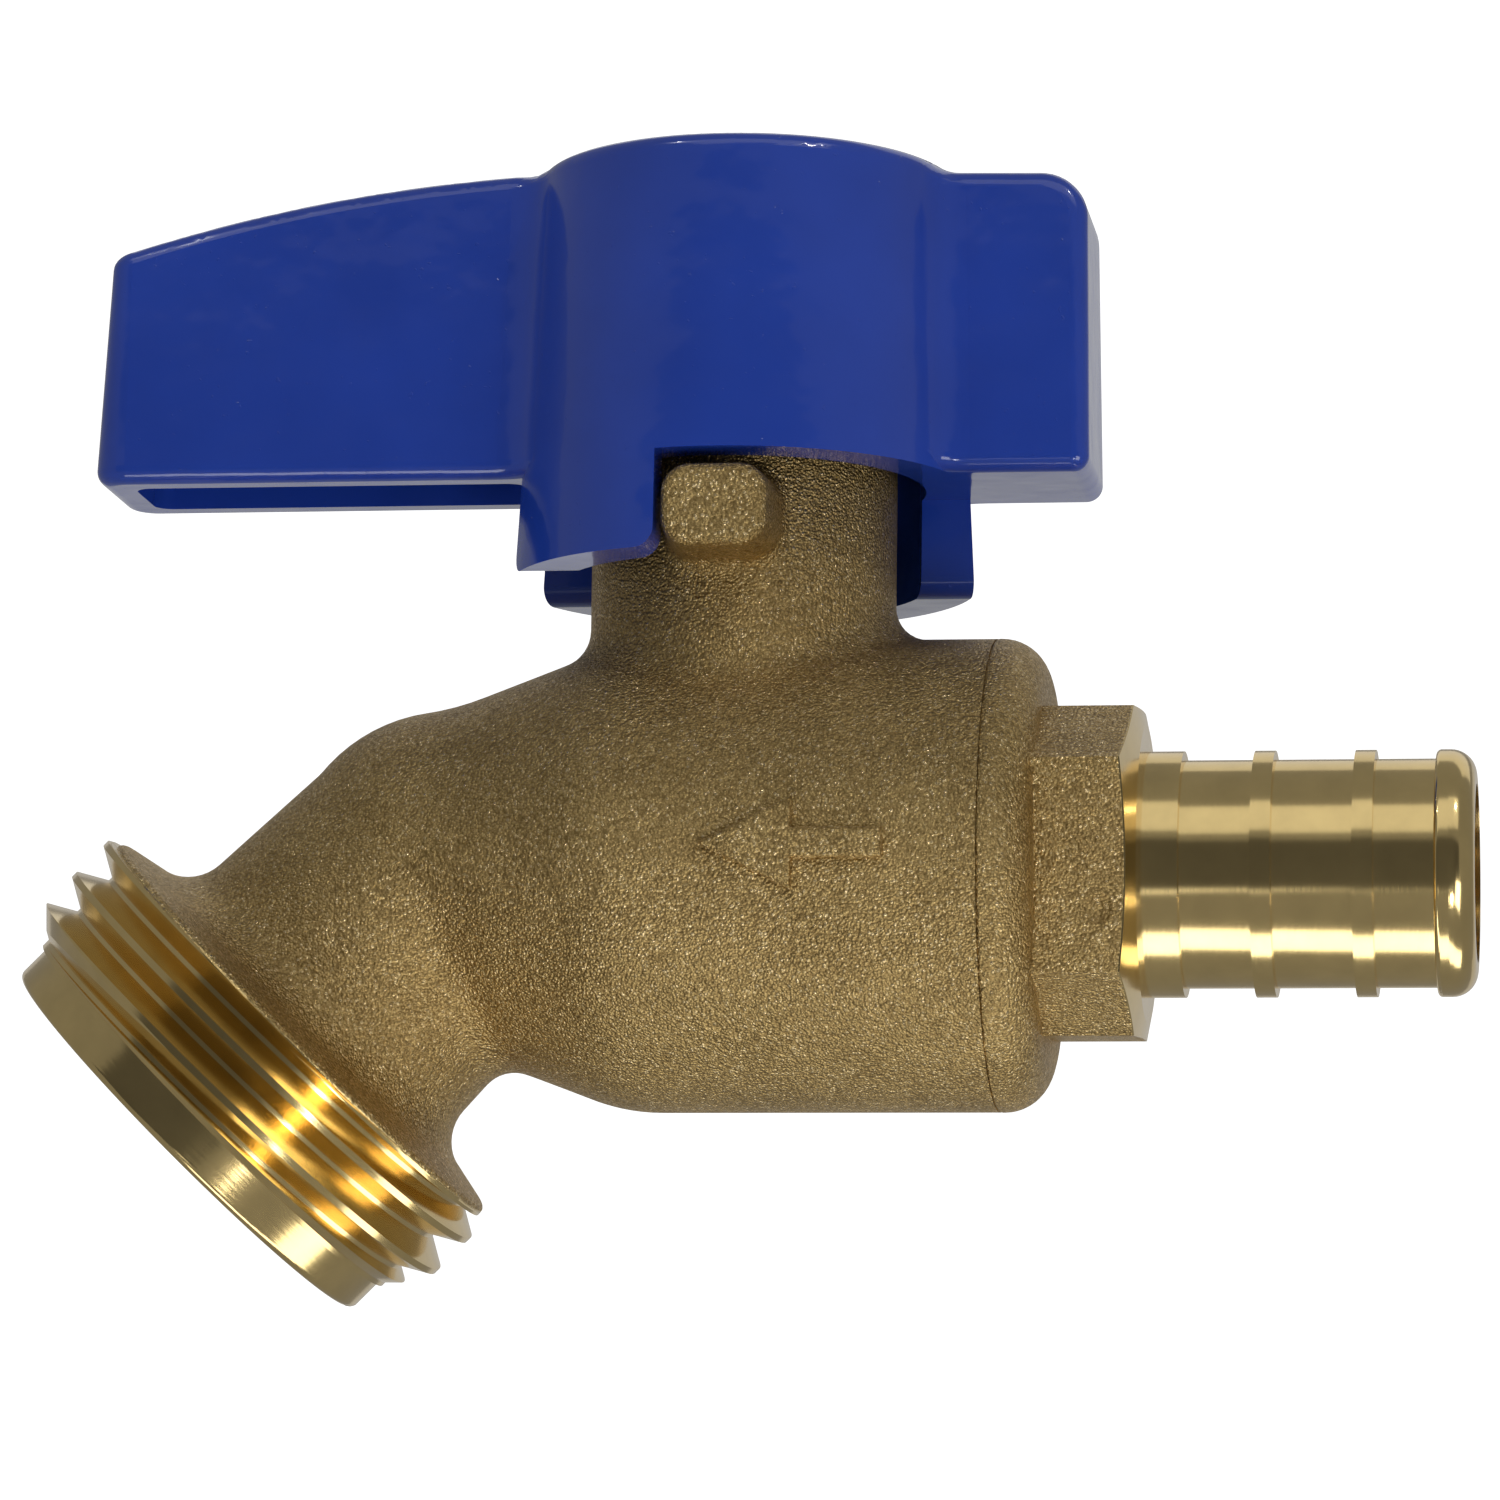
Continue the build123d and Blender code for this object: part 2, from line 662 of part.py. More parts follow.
def lever_hollow():
    """The hollow under the lever, inside an even wall."""
    x_low = lever_tip_x + casting_wall
    x_high = -rim_front_r + lever_hollow_root
    width = 2 * (lever_half_width - casting_wall)
    outline = Pos((x_low + x_high) / 2, 0) * Rectangle(x_high - x_low, width)
    prism = drafted(fillet(outline.vertices(), hollow_corner_r))
    prism += Pos(0, 0, -hollow_corner_r) * prism
    return prism & along_y(lever_profile(lever_ceiling))


def stop_window():
    """What is cut from the skirt so that the lug can pass through a quarter turn."""
    side = lug_width / 2 + lug_stand * tan(radians(lug_draft)) + stop_play
    return skirt_cut(-side, 2 * hub_bottom_r, -2 * hub_bottom_r, side)


def lever_gap():
    """The gap in the skirt under the lever's hollow."""
    side = lever_half_width - lever_gap_margin
    return skirt_cut(-2 * hub_bottom_r, 0, -side, side)


def skirt_cut(x_low, x_high, y_low, y_high):
    """A block that clears the skirt, from below it up to the rim."""
    height = rim_z - skirt_bottom_z + past
    block = Box(x_high - x_low, y_high - y_low, height)
    return Pos((x_low + x_high) / 2, (y_low + y_high) / 2, rim_z - height / 2) * block


# ---------------------------------------------------------------- handle fastening
def make_handle_washer():
    """Flat washer on the well's floor."""
    top = well_floor_z + washer_thickness
    return ring(well_floor_z, top, screw_r + hole_clearance, washer_r)


def make_lock_washer():
    """Split spring washer under the screw's head."""
    low = well_floor_z + washer_thickness
    washer = ring(low, stack_z, screw_r + hole_clearance, lock_washer_r)
    split = Box(2 * lock_washer_r, lock_washer_split, lock_washer_r)
    return washer - Pos(lock_washer_r, 0, low) * Rot(lock_washer_slant, 0, 0) * split


def make_handle_screw():
    """Pan head screw with a cross slot, into the stem."""
    top_z = stack_z + screw_head_height
    head = turned(
        [(0, stack_z), (screw_head_r, stack_z), (screw_head_r, top_z), (0, top_z)],
        radii=[0, screw_head_edge_r, screw_head_round_r, 0],
    )
    slot = Box(screw_slot_length, screw_slot_width, 2 * screw_slot_depth)
    head -= Pos(0, 0, top_z) * slot
    head -= Pos(0, 0, top_z) * Rot(0, 0, 90) * slot
    return head + post(stack_z - screw_length, stack_z + screw_head_edge_r, screw_r)


pieces = {
    "body": make_body,
    "tailpiece": make_tailpiece,
    "body_seal": make_body_seal,
    "ball": make_ball,
    "inlet_seat": lambda: make_seat(+1),
    "outlet_seat": lambda: make_seat(-1),
    "stem": make_stem,
    "thrust_washer": make_thrust_washer,
    "stem_seal": make_stem_seal,
    "lower_packing_ring": lambda: make_packing_ring(0),
    "middle_packing_ring": lambda: make_packing_ring(1),
    "upper_packing_ring": lambda: make_packing_ring(2),
    "gland_ring": make_gland_ring,
    "gland_nut": make_gland_nut,
    "handle": make_handle,
    "handle_washer": make_handle_washer,
    "lock_washer": make_lock_washer,
    "handle_screw": make_handle_screw,
}

os.makedirs("parts", exist_ok=True)
to_origin = Pos(-hex_end_x, 0, 0)
for name, make in pieces.items():
    print(name)
    export_step(to_origin * make(), f"parts/{name}.step")
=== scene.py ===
"""Looks of the quarter-turn hose bib: cast and machined brass, blue enamel, seals and the studio."""

import json
import math

import bpy
import numpy as np
from bpy.props import FloatProperty, FloatVectorProperty, PointerProperty
from mathutils import Matrix, Vector


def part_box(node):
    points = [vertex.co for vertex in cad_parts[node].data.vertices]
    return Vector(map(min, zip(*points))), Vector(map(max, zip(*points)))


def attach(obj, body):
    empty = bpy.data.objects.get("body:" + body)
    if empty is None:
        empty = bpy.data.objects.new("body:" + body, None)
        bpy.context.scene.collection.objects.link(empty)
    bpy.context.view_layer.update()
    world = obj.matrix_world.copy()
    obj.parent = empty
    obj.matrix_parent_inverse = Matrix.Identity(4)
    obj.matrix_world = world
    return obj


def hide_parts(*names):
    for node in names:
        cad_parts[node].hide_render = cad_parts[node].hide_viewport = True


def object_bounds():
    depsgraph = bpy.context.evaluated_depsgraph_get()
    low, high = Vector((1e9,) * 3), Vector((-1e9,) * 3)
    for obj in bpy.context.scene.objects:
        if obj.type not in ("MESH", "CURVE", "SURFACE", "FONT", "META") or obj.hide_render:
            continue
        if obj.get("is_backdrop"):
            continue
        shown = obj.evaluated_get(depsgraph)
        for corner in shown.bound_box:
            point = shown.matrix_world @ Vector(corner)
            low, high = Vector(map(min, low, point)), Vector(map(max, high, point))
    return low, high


bl_info = {
    "name": "Hose bib",
    "version": (1, 0, 0),
    "blender": (4, 5, 0),
    "location": "3D View > Sidebar > Hose bib",
    "description": "Finishes, seals and studio for a quarter-turn hose bib",
    "category": "Object",
}

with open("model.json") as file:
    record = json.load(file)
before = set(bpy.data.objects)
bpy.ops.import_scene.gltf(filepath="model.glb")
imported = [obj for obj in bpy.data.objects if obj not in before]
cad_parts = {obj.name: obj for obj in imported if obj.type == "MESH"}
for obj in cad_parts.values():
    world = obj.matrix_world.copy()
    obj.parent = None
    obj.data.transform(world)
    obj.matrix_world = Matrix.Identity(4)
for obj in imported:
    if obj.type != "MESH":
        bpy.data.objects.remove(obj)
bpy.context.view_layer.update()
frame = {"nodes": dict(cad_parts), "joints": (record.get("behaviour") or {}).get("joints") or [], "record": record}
MOUNTS = {mount["name"]: mount for mount in frame["record"]["mounts"]}
OUTLET_AXIS = Vector(MOUNTS["hose_washer_face"]["axis"]).normalized()
OUTLET_FACE = Vector(MOUNTS["hose_washer_face"]["pos_m"]).dot(OUTLET_AXIS)
STEM_X = next(j for j in frame["joints"] if j["name"] == "handle_turn")["pos_m"][0]
ALONG_PIPE = (1, 0, 0)
ALONG_STEM = (0, 0, 1)


# ---------------------------------------------------------------- settings
def colour(name, description, default):
    """A colour setting, in linear light."""
    return FloatVectorProperty(
        name=name, description=description, default=default, size=3, min=0, max=1, subtype="COLOR"
    )


def length(name, description, default):
    """A length setting in metres."""
    return FloatProperty(
        name=name, description=description, default=default, min=0, precision=5, unit="LENGTH"
    )


def share(name, description, default):
    """A setting from none to all."""
    return FloatProperty(
        name=name, description=description, default=default, min=0, max=1, subtype="FACTOR"
    )


class BrassFinish(bpy.types.PropertyGroup):
    # the next two colours bound the casting's colour: the lighter one is painted on the grain tops as lit brass,
    # the darker one in the hollows as painted shade together with real tarnish
    cast_lit_tops: colour("Cast, high spots", "Brass on the tops of the grains", (0.80, 0.57, 0.235))
    cast_shade_and_tarnish: colour("Cast, hollows", "Tarnished brass between the grains", (0.25, 0.163, 0.058))
    # the sparkle colour is a painted highlight: a brighter colour on a few grain tops
    painted_sparkle: colour("Sparkle", "Fresh metal on the sharpest grains", (0.98, 0.78, 0.44))
    machined: colour("Machined", "Fresh brass on thread and barb", (0.90, 0.68, 0.30))
    grain: length("Grain", "Size of the blasted grains", 0.00014)
    cast_roughness: share("Cast roughness", "Dullness of the casting", 0.38)
    machined_roughness: share("Machined roughness", "Dullness of the turned faces", 0.13)
    cut_pitch: length("Cut pitch", "Spacing of the turning marks", 0.00016)
    thread_zone: length("Machined zone", "How far the machining runs up from the outlet", 0.00805)
    hex_face_r: length("Hexagon's turned flat", "Radius where the hexagon's chamfer starts", 0.00735)
    hex_chamfer: FloatProperty(
        name="Hexagon's chamfer", description="Slope of the turned chamfer", subtype="ANGLE",
        default=math.radians(12),
    )


class EnamelFinish(bpy.types.PropertyGroup):
    blue: colour("Blue", "Colour of the enamel", (0.022, 0.076, 0.540))
    deep_blue: colour("Deep blue", "Colour where the enamel lies thick", (0.018, 0.066, 0.480))
    roughness: share("Roughness", "Dullness of the enamel", 0.13)
    ripple: length("Ripple", "Spacing of the enamel's orange peel", 0.0016)


class SealSizes(bpy.types.PropertyGroup):
    flash: length("Flash", "Height of the moulding line round a rubber ring", 0.00003)


class StudioSettings(bpy.types.PropertyGroup):
    azimuth: FloatProperty(
        name="Azimuth", description="Camera's angle round the object", subtype="ANGLE",
        default=math.radians(7.643),
    )
    elevation: FloatProperty(
        name="Elevation", description="Camera's angle above the object", subtype="ANGLE",
        default=math.radians(-8.85),
    )
    roll: FloatProperty(
        name="Roll", description="Camera's turn about its own axis", subtype="ANGLE",
        default=math.radians(0.745),
    )
    distance: length("Distance", "Camera to the point it looks at", 0.34)
    focal: FloatProperty(
        name="Focal length", description="Camera's lens, in millimetres", default=163.44, min=1
    )
    aim_right: length("Aim right", "How far right of the middle the camera looks", 0.00208)
    aim_down: length("Aim down", "How far below the middle the camera looks", 0.00207)
    shift_x: FloatProperty(
        name="Shift X", description="Sideways shift of the camera's lens", default=-0.0258
    )
    shift_y: FloatProperty(
        name="Shift Y", description="Upward shift of the camera's lens", default=0.0181
    )
    floor_drop: length("Floor drop", "Floor below the lowest point of the outlet", 0.085)


SETTINGS = {
    "hose_bib_brass": BrassFinish,
    "hose_bib_enamel": EnamelFinish,
    "hose_bib_seals": SealSizes,
    "hose_bib_studio": StudioSettings,
}


# ---------------------------------------------------------------- wiring of materials
class Wiring:
    """A new material with one shader, and short calls that add nodes to it."""

    def __init__(self, name, **sockets):
        self.material = bpy.data.materials.new(name)
        self.material.use_nodes = True
        self.tree = self.material.node_tree
        self.shader = self.tree.nodes["Principled BSDF"]
        self.place = self.add("ShaderNodeTexCoord").outputs["Object"]
        for socket, value in sockets.items():
            self.shader.inputs[socket.replace("_", " ")].default_value = value

    def add(self, kind, inputs=None, **settings):
        """A node; inputs maps a socket's name or number to a value or to another node's output."""
        node = self.tree.nodes.new(kind)
        for key, value in settings.items():
            setattr(node, key, value)
        for key, value in (inputs or {}).items():
            if isinstance(value, bpy.types.NodeSocket):
                self.tree.links.new(value, node.inputs[key])
            else:
                node.inputs[key].default_value = value
        return node

    def math(self, operation, a, b):
        """One sum of two numbers or outputs."""
        return self.add("ShaderNodeMath", {0: a, 1: b}, operation=operation).outputs[0]

    def total(self, first, *others):
        """Outputs added up, each given with its weight."""
        running = self.math("MULTIPLY", *first)
        for output, weight in others:
            running = self.math("ADD", running, self.math("MULTIPLY", output, weight))
        return running

    def along(self, direction):
        """Distance along a direction from the origin."""
        return self.add(
            "ShaderNodeVectorMath", {0: self.place, 1: tuple(direction)}, operation="DOT_PRODUCT"
        ).outputs["Value"]

    def noise(self, size, detail=3.0, roughness=0.5, vector=None):
        """Cloudy noise from 0 to 1 whose lumps are size metres across."""
        return self.add(
            "ShaderNodeTexNoise",
            {
                "Vector": self.place if vector is None else vector,
                "Scale": 1 / size,
                "Detail": detail,
                "Roughness": roughness,
            },
        ).outputs["Fac"]

    def spread(self, value, low, high, to_low=0.0, to_high=1.0):
        """Stretches the range low..high to to_low..to_high, held at both ends."""
        return self.add(
            "ShaderNodeMapRange", {0: value, 1: low, 2: high, 3: to_low, 4: to_high}, clamp=True
        ).outputs[0]

    def blend(self, fac, a, b):
        """A colour between a and b."""
        node = self.add("ShaderNodeMix", {"Factor": fac}, data_type="RGBA")
        for socket, value in ((node.inputs[6], a), (node.inputs[7], b)):
            if isinstance(value, bpy.types.NodeSocket):
                self.tree.links.new(value, socket)
            else:
                socket.default_value = (*value, 1)
        return node.outputs[2]

    def mix(self, fac, a, b):
        """A number between a and b."""
        return self.add("ShaderNodeMix", {0: fac, 2: a, 3: b}, data_type="FLOAT").outputs[0]

    def bump(self, height, depth, strength=1.0, under=None):
        """A bump of height times depth metres, on top of another bump."""
        inputs = {"Height": height, "Distance": depth, "Strength": strength}
        if under is not None:
            inputs["Normal"] = under
        return self.add("ShaderNodeBump", inputs).outputs[0]

    def wire(self, **sockets):
        """Joins outputs to the shader and returns the material."""
        for socket, output in sockets.items():
            self.tree.links.new(output, self.shader.inputs[socket.replace("_", " ")])
        return self.material


def cast_and_cut(w, brass, cut, marks):
    """Brass that is blasted casting where cut is 0 and turned bright where it is 1.

    The casting is rounded grains over a finer roughness. The hollows between the grains are
    painted darker as shade and the tops painted lighter as lit; tarnish comes and goes in broad
    patches, and a few grains get a painted sparkle: a brighter colour, with a lower roughness
    that catches the lamps.
    """
    grains = w.add("ShaderNodeTexVoronoi", {"Vector": w.place, "Scale": 1 / brass.grain}, feature="F1")
    grain_shade = grains.outputs["Color"]
    rounded = w.spread(grains.outputs["Distance"], 0.10, 0.80, 1.0, 0.0)
    fine = w.noise(brass.grain * 0.55, detail=2.0, roughness=0.55)
    wander = w.noise(brass.grain * 2, detail=1.0)
    height = w.total((rounded, 0.55), (fine, 0.42), (wander, 0.40))
    tops = w.spread(height, 0.45, 0.95)

    tarnish = w.noise(0.0042, detail=4.0, roughness=0.62)
    rubbed = w.spread(tarnish, 0.35, 0.65, 0.05, 0.20)
    # painted shade: the grain tops come out lighter and the hollows darker; the per-grain tone and the tarnish
    # patches are the brass's own
    painted_shade_and_tarnish = w.total((tops, 0.42), (w.spread(grain_shade, 0.25, 0.75), 0.32), (rubbed, 1.0))
    # painted sparkle: a few grain tops get a brighter colour as a highlight; they also get a lower roughness,
    # which glints for real
    painted_sparkle_grains = w.math("MULTIPLY", w.spread(grain_shade, 0.74, 0.79), tops)
    dull_colour = w.blend(painted_shade_and_tarnish, brass.cast_shade_and_tarnish, brass.cast_lit_tops)
    cast_colour = w.blend(painted_sparkle_grains, dull_colour, brass.painted_sparkle)
    dull = w.spread(tops, 0.0, 1.0, brass.cast_roughness + 0.10, brass.cast_roughness - 0.08)
    cast_rough = w.mix(painted_sparkle_grains, dull, 0.20)

    stain = w.spread(w.noise(0.0025, detail=3.0, roughness=0.6), 0.3, 0.75)
    cut_colour = w.blend(stain, brass.machined, tuple(c * 0.86 for c in brass.machined))
    smooth, scored = brass.machined_roughness - 0.03, brass.machined_roughness + 0.07
    cut_rough = w.spread(marks, 0.0, 1.0, smooth, scored)

    rough_coat = w.bump(height, brass.grain * 0.80, w.mix(cut, 1.0, 0.0))
    return w.wire(
        Base_Color=w.blend(cut, cast_colour, cut_colour),
        Roughness=w.mix(cut, cast_rough, cut_rough),
        Normal=w.bump(marks, 0.0000045, w.mix(cut, 0.0, 1.0), under=rough_coat),
    )


def turning_marks(w, along, radial, pitch):
    """Fine uneven rings left by a lathe tool, spaced pitch apart along the axis and the radius."""
    run = w.total((along, 1.0), (radial, 0.7))
    sweep = w.add("ShaderNodeCombineXYZ", {0: run}).outputs[0]
    fine = w.noise(pitch, detail=2.0, roughness=0.7, vector=sweep)
    broad = w.noise(pitch * 7, detail=1.0, vector=sweep)
    return w.total((fine, 0.7), (broad, 0.3))


def radius_from(w, axis, point=(0, 0, 0)):
    """Distance from a line through point along axis."""
    offset = w.add("ShaderNodeVectorMath", {0: w.place, 1: tuple(point)}, operation="SUBTRACT")
    cross = w.add(
        "ShaderNodeVectorMath", {0: offset.outputs[0], 1: tuple(axis)}, operation="CROSS_PRODUCT"
    )
    return w.add("ShaderNodeVectorMath", {0: cross.outputs[0]}, operation="LENGTH").outputs["Value"]


def waxy_plastic(name, clean, soiled):
    """Turned fluoropolymer: waxy, with faint rings round the stem and a little soiling."""
    w = Wiring(name, Subsurface_Weight=0.15, Subsurface_Scale=0.0006, IOR=1.38)
    dirt = w.noise(0.0014, detail=4.0, roughness=0.6)
    radial = radius_from(w, ALONG_STEM, (STEM_X, 0, 0))
    rings = turning_marks(w, w.along(ALONG_STEM), radial, 0.0002)
    return w.wire(
        Base_Color=w.blend(w.spread(dirt, 0.45, 0.8), clean, soiled),
        Roughness=w.spread(dirt, 0.3, 0.7, 0.34, 0.5),
        Normal=w.bump(rings, 0.000004, 0.5),
    )


def paint(material, *nodes):
    """Gives CAD nodes one material in place of what they came with."""
    for name in nodes:
        mesh = frame["nodes"][name].data
        mesh.materials.clear()
        mesh.materials.append(material)


# ---------------------------------------------------------------- surfaces
def ring_surface(name, ring_r, section_r, centre, axis, flash, around=192, across=48):
    """A moulded rubber ring.

    The point at angles u round the ring and v round its section is ring_r plus the section's
    radius times cos v away from the axis, and that radius times sin v along it. The section's
    radius is section_r, with a thin raised line of height flash where cos v squared is nearly 1,
    which is the moulding line at the ring's outer and inner equators.
    """
    u = np.linspace(0, 2 * math.pi, around, endpoint=False)[:, None]
    v = np.linspace(0, 2 * math.pi, across, endpoint=False)[None, :]
    r = section_r - flash + flash * np.cos(v) ** 80
    out = ring_r + r * np.cos(v)
    x, y, z = out * np.cos(u), out * np.sin(u), r * np.sin(v) + 0 * u
    turn = np.array(Vector((0, 0, 1)).rotation_difference(Vector(axis)).to_matrix())
    points = np.stack([x, y, z], axis=-1).reshape(-1, 3) @ turn.T + np.array(centre)
    here = np.arange(around * across).reshape(around, across)
    right, up = np.roll(here, -1, axis=0), np.roll(here, -1, axis=1)
    corner = np.roll(right, -1, axis=1)
    quads = np.stack([here, right, corner, up], axis=-1).reshape(-1, 4)
    mesh = bpy.data.meshes.new(name)
    mesh.from_pydata(points.tolist(), [], quads.tolist())
    mesh.shade_smooth()
    ring = bpy.data.objects.new(name, mesh)
    bpy.context.scene.collection.objects.link(ring)
    return ring


def ring_in_place(node, axis_index):
    """Ring radius, section radius and centre of a CAD ring, from its box."""
    low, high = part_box(node)
    width = high[axis_index] - low[axis_index]
    across = max(high[i] - low[i] for i in range(3) if i != axis_index)
    return (across - width) / 2, width / 2, (low + high) / 2


# ---------------------------------------------------------------- operators
class HOSEBIB_OT_casting(bpy.types.Operator):
    """Blasted brass on the body, with the hose thread turned bright"""

    bl_idname = "hosebib.casting"
    bl_label = "Body casting"

    def execute(self, context):
        brass = context.scene.hose_bib_brass
        w = Wiring("cast_brass_body", Metallic=1.0)
        past_end = w.math("SUBTRACT", OUTLET_FACE, w.along(OUTLET_AXIS))
        edge = w.total((past_end, 1.0), (w.noise(0.0009), 0.00012))
        cut = w.spread(edge, brass.thread_zone, brass.thread_zone + 0.00012, 1.0, 0.0)
        radial = radius_from(w, OUTLET_AXIS, MOUNTS["outlet_waterway"]["pos_m"])
        marks = turning_marks(w, past_end, radial, brass.cut_pitch)
        paint(cast_and_cut(w, brass, cut, marks), "body")
        return {"FINISHED"}


class HOSEBIB_OT_tailpiece(bpy.types.Operator):
    """Cast collar and hexagon, with the chamfer and the pipe barb turned bright"""

    bl_idname = "hosebib.tailpiece"
    bl_label = "Tailpiece"

    def execute(self, context):
        brass = context.scene.hose_bib_brass
        w = Wiring("cast_brass_tailpiece", Metallic=1.0)
        x = w.along(ALONG_PIPE)
        radial = radius_from(w, ALONG_PIPE)
        past_flat = w.math("SUBTRACT", radial, brass.hex_face_r)
        behind = w.math("MULTIPLY", past_flat, math.tan(brass.hex_chamfer))
        ahead = w.math("ADD", x, w.math("MAXIMUM", behind, 0.0))
        cut = w.spread(ahead, -0.00012, -0.00004)
        marks = turning_marks(w, x, radial, brass.cut_pitch)
        paint(cast_and_cut(w, brass, cut, marks), "tailpiece")
        return {"FINISHED"}


class HOSEBIB_OT_handle(bpy.types.Operator):
    """Glossy blue enamel over the handle's die casting"""

    bl_idname = "hosebib.handle"
    bl_label = "Handle"

    def execute(self, context):
        enamel = context.scene.hose_bib_enamel
        w = Wiring("blue_enamel", Coat_Weight=0.6, Coat_Roughness=0.05, IOR=1.5)
        pool = w.noise(0.006, detail=2.0)
        peel = w.noise(enamel.ripple, detail=1.5, roughness=0.4)
        swell = w.noise(enamel.ripple * 3.5, detail=1.0)
        dust = w.spread(w.noise(0.0003, detail=1.0), 0.735, 0.78)
        waves = w.bump(swell, 0.00016, 0.7)
        skin = w.bump(peel, 0.00005, 0.6, under=waves)
        material = w.wire(
            Base_Color=w.blend(w.spread(pool, 0.3, 0.7), enamel.blue, enamel.deep_blue),
            Roughness=w.spread(peel, 0.2, 0.8, enamel.roughness, enamel.roughness + 0.06),
            Normal=w.bump(dust, 0.00002, 0.6, under=skin),
            Coat_Normal=skin,
        )
        paint(material, "handle")
        return {"FINISHED"}


class HOSEBIB_OT_rubber(bpy.types.Operator):
    """The two moulded rubber rings, in place of the plain CAD ones"""

    bl_idname = "hosebib.rubber"
    bl_label = "Rubber rings"

    def execute(self, context):
        flash = context.scene.hose_bib_seals.flash
        w = Wiring("black_rubber", Specular_IOR_Level=0.4)
        bloom = w.noise(0.0011, detail=3.0)
        pores = w.noise(0.00012, detail=2.0)
        dusty = w.spread(bloom, 0.35, 0.7)
        material = w.wire(
            Base_Color=w.blend(dusty, (0.012, 0.012, 0.013), (0.03, 0.03, 0.031)),
            Roughness=w.spread(bloom, 0.3, 0.7, 0.45, 0.62),
            Normal=w.bump(pores, 0.000008, 0.6),
        )
        for node, body, axis, index in (
            ("body_seal", "valve", ALONG_PIPE, 0),
            ("stem_seal", "lever", ALONG_STEM, 2),
        ):
            ring_r, section_r, centre = ring_in_place(node, index)
            ring = ring_surface(node + "_moulded", ring_r, section_r, centre, axis, flash)
            ring.data.materials.append(material)
            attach(ring, body)
            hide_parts(node)
        return {"FINISHED"}


class HOSEBIB_OT_ball(bpy.types.Operator):
    """Polished plating on the ball, and waxy plastic on its seats"""

    bl_idname = "hosebib.ball"
    bl_label = "Ball and seats"

    def execute(self, context):
        w = Wiring("polished_plating", Metallic=1.0)
        haze = w.noise(0.003, detail=3.0)
        hairlines = w.add("ShaderNodeMapping", {0: w.place, 3: (900, 60, 900)}, vector_type="POINT")
        scratches = w.noise(1.0, detail=2.0, vector=hairlines.outputs[0])
        hazy = w.spread(haze, 0.3, 0.7)
        plating = w.wire(
            Base_Color=w.blend(hazy, (0.78, 0.78, 0.80), (0.66, 0.67, 0.70)),
            Roughness=w.spread(scratches, 0.35, 0.7, 0.05, 0.16),
            Normal=w.bump(scratches, 0.0000015, 0.5),
        )
        paint(plating, "ball")
        plastic = waxy_plastic("white_seat_plastic", (0.82, 0.82, 0.79), (0.70, 0.69, 0.64))
        paint(plastic, "inlet_seat", "outlet_seat", "thrust_washer")
        return {"FINISHED"}


class HOSEBIB_OT_packing(bpy.types.Operator):
    """The stem's packing, gland and the stem itself"""

    bl_idname = "hosebib.packing"
    bl_label = "Stem and packing"

    def execute(self, context):
        brass = context.scene.hose_bib_brass
        packing = waxy_plastic("white_packing", (0.78, 0.78, 0.74), (0.62, 0.60, 0.54))
        paint(packing, "lower_packing_ring", "middle_packing_ring", "upper_packing_ring")
        w = Wiring("turned_brass", Metallic=1.0)
        radial = radius_from(w, ALONG_STEM, (STEM_X, 0, 0))
        marks = turning_marks(w, w.along(ALONG_STEM), radial, brass.cut_pitch)
        stain = w.spread(w.noise(0.0018, detail=3.0), 0.35, 0.7)
        turned = w.wire(
            Base_Color=w.blend(stain, brass.machined, tuple(c * 0.8 for c in brass.machined)),
            Roughness=w.spread(marks, 0.2, 0.8, 0.18, 0.34),
            Normal=w.bump(marks, 0.000003, 0.8),
        )
        paint(turned, "stem", "gland_ring", "gland_nut")
        return {"FINISHED"}


class HOSEBIB_OT_fastening(bpy.types.Operator):
    """Zinc on the handle's screw and washers"""

    bl_idname = "hosebib.fastening"
    bl_label = "Screw and washers"

    def execute(self, context):
        w = Wiring("zinc_plate", Metallic=1.0)
        spangle = w.add(
            "ShaderNodeTexVoronoi", {"Vector": w.place, "Scale": 1 / 0.0007}, feature="F1"
        ).outputs["Color"]
        cloud = w.noise(0.0012, detail=4.0, roughness=0.65)
        fine = w.noise(0.00009, detail=2.0)
        grey = w.blend(w.spread(cloud, 0.35, 0.7), (0.62, 0.63, 0.65), (0.50, 0.50, 0.49))
        zinc = w.wire(
            Base_Color=w.blend(0.06, grey, spangle),
            Roughness=w.spread(cloud, 0.3, 0.7, 0.24, 0.42),
            Normal=w.bump(fine, 0.000004, 0.7),
        )
        paint(zinc, "handle_washer", "lock_washer", "handle_screw")
        return {"FINISHED"}


def panel_light(name, place, target, width, height, watts):
    """A soft rectangular lamp that faces target, unseen by the camera."""
    data = bpy.data.lights.new(name, "AREA")
    data.shape = "RECTANGLE"
    data.size, data.size_y = width, height
    data.energy = watts
    lamp = bpy.data.objects.new(name, data)
    lamp.location = place
    lamp.rotation_euler = (Vector(target) - Vector(place)).to_track_quat("-Z", "Y").to_euler()
    lamp.visible_camera = False
    bpy.context.scene.collection.objects.link(lamp)


